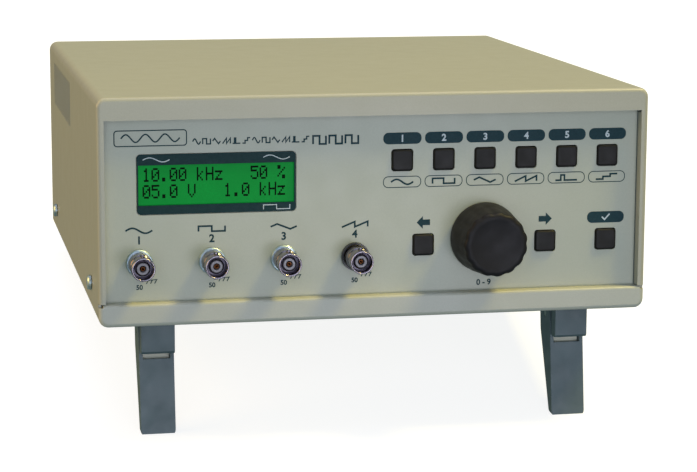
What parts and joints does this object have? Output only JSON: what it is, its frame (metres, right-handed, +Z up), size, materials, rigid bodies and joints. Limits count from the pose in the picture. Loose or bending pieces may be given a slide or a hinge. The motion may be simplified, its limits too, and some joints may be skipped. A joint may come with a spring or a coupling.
{
  "type": "function generator",
  "caption": "Bench function generator: low sheet-metal case tipped up on folding front legs, with a recessed panel holding a display, coaxial jacks, push keys and a large fluted knob.",
  "frame": {"origin": "centre of the bounding box on the bench top, under the case, with the legs deployed", "axes": "+X to the right across the front panel, +Y from the front panel to the back, level with the bench, +Z up; the case is tipped up at the front by 9.15 degrees"},
  "size_m": [0.2366, 0.2786, 0.1467],
  "materials": {
    "cover_paint": "satin beige enamel",
    "tray_paint": "satin grey-beige enamel",
    "panel_paint": "satin grey-green enamel",
    "circuit_board": "glass-fibre laminate",
    "key_plastic": "fine matt",
    "knob_plastic": "satin",
    "nickel": "plain nickel plate",
    "jack_metal": "bright nickel plate",
    "insulator": "natural white",
    "contact_gold": "gold plate",
    "black_plastic": "moulded satin gloss",
    "window_plastic": "printed film, gloss",
    "display_glass": "back-lit polarised glass",
    "zinc": "zinc plate",
    "foot_plastic": "satin moulded",
    "transformer_iron": "varnished laminations",
    "copper_wire": "taped winding",
    "aluminium": "as extruded"
  },
  "bodies": {
    "case": {"upper_cover": "cover_paint", "lower_tray": "tray_paint", "screw_left_front": "zinc", "screw_left_rear": "zinc", "screw_right_front": "zinc", "screw_right_rear": "zinc", "key_board": "circuit_board", "encoder_body": "nickel", "encoder_nut": "nickel", "jack_1_shell": "jack_metal", "jack_1_insulator": "insulator", "jack_1_contact": "contact_gold", "jack_1_nut": "jack_metal", "jack_2_shell": "jack_metal", "jack_2_insulator": "insulator", "jack_2_contact": "contact_gold", "jack_2_nut": "jack_metal", "jack_3_shell": "jack_metal", "jack_3_insulator": "insulator", "jack_3_contact": "contact_gold", "jack_3_nut": "jack_metal", "jack_4_shell": "jack_metal", "jack_4_insulator": "insulator", "jack_4_contact": "contact_gold", "jack_4_nut": "jack_metal", "jack_4_bush": "black_plastic", "front_panel": "panel_paint", "display_window": "window_plastic", "display_cell": "display_glass", "display_frame": "zinc", "display_board": "circuit_board", "foot_bracket_left": "foot_plastic", "hinge_pin_left": "zinc", "rear_foot_left": "foot_plastic", "foot_bracket_right": "foot_plastic", "hinge_pin_right": "zinc", "rear_foot_right": "foot_plastic", "rear_panel": "panel_paint", "power_inlet": "black_plastic", "rocker_frame": "black_plastic", "main_board": "circuit_board", "transformer_core": "transformer_iron", "transformer_coil": "copper_wire", "heat_sink": "aluminium", "smoothing_capacitor": "black_plastic"},
    "knob": {"control_knob": "knob_plastic", "encoder_shaft": "nickel"},
    "leg_left": {"tilt_leg_left": "foot_plastic"},
    "leg_right": {"tilt_leg_right": "foot_plastic"},
    "rocker": {"power_rocker": "black_plastic"},
    "drawer": {"fuse_drawer": "black_plastic"},
    "key_1": {"key_1": "key_plastic"},
    "key_2": {"key_2": "key_plastic"},
    "key_3": {"key_3": "key_plastic"},
    "key_4": {"key_4": "key_plastic"},
    "key_5": {"key_5": "key_plastic"},
    "key_6": {"key_6": "key_plastic"},
    "key_arrow_left": {"key_arrow_left": "key_plastic"},
    "key_arrow_right": {"key_arrow_right": "key_plastic"},
    "key_enter": {"key_enter": "key_plastic"}
  },
  "joints": [
    {"name": "knob_turn", "type": "hinge", "parent": "case", "child": "knob", "pos_m": [0.0467, -0.12205, 0.08545], "axis": [0, 0.9873, -0.1591], "continuous": true},
    {"name": "key_1_press", "type": "slide", "parent": "case", "child": "key_1", "axis": [0, 0.9873, -0.1591], "range_m": [0, 0.001], "stiffness_N_per_m": 1000, "springref_m": -0.0005},
    {"name": "key_2_press", "type": "slide", "parent": "case", "child": "key_2", "axis": [0, 0.9873, -0.1591], "range_m": [0, 0.001], "stiffness_N_per_m": 1000, "springref_m": -0.0005},
    {"name": "key_3_press", "type": "slide", "parent": "case", "child": "key_3", "axis": [0, 0.9873, -0.1591], "range_m": [0, 0.001], "stiffness_N_per_m": 1000, "springref_m": -0.0005},
    {"name": "key_4_press", "type": "slide", "parent": "case", "child": "key_4", "axis": [0, 0.9873, -0.1591], "range_m": [0, 0.001], "stiffness_N_per_m": 1000, "springref_m": -0.0005},
    {"name": "key_5_press", "type": "slide", "parent": "case", "child": "key_5", "axis": [0, 0.9873, -0.1591], "range_m": [0, 0.001], "stiffness_N_per_m": 1000, "springref_m": -0.0005},
    {"name": "key_6_press", "type": "slide", "parent": "case", "child": "key_6", "axis": [0, 0.9873, -0.1591], "range_m": [0, 0.001], "stiffness_N_per_m": 1000, "springref_m": -0.0005},
    {"name": "key_arrow_left_press", "type": "slide", "parent": "case", "child": "key_arrow_left", "axis": [0, 0.9873, -0.1591], "range_m": [0, 0.001], "stiffness_N_per_m": 1000, "springref_m": -0.0005},
    {"name": "key_arrow_right_press", "type": "slide", "parent": "case", "child": "key_arrow_right", "axis": [0, 0.9873, -0.1591], "range_m": [0, 0.001], "stiffness_N_per_m": 1000, "springref_m": -0.0005},
    {"name": "key_enter_press", "type": "slide", "parent": "case", "child": "key_enter", "axis": [0, 0.9873, -0.1591], "range_m": [0, 0.001], "stiffness_N_per_m": 1000, "springref_m": -0.0005},
    {"name": "leg_left_fold", "type": "hinge", "parent": "case", "child": "leg_left", "pos_m": [-0.09, -0.09488, 0.04036], "axis": [1, 0, 0], "range_deg": [0, 97]},
    {"name": "leg_right_fold", "type": "hinge", "parent": "case", "child": "leg_right", "pos_m": [0.09, -0.09488, 0.04036], "axis": [1, 0, 0], "range_deg": [0, 97]},
    {"name": "rocker_tip", "type": "hinge", "parent": "case", "child": "rocker", "pos_m": [0.026, 0.12925, 0.06096], "axis": [1, 0, 0], "range_deg": [-20, 0]},
    {"name": "drawer_slide", "type": "slide", "parent": "case", "child": "drawer", "axis": [0, 0.9873, -0.1591], "range_m": [0, 0.018]}
  ]
}
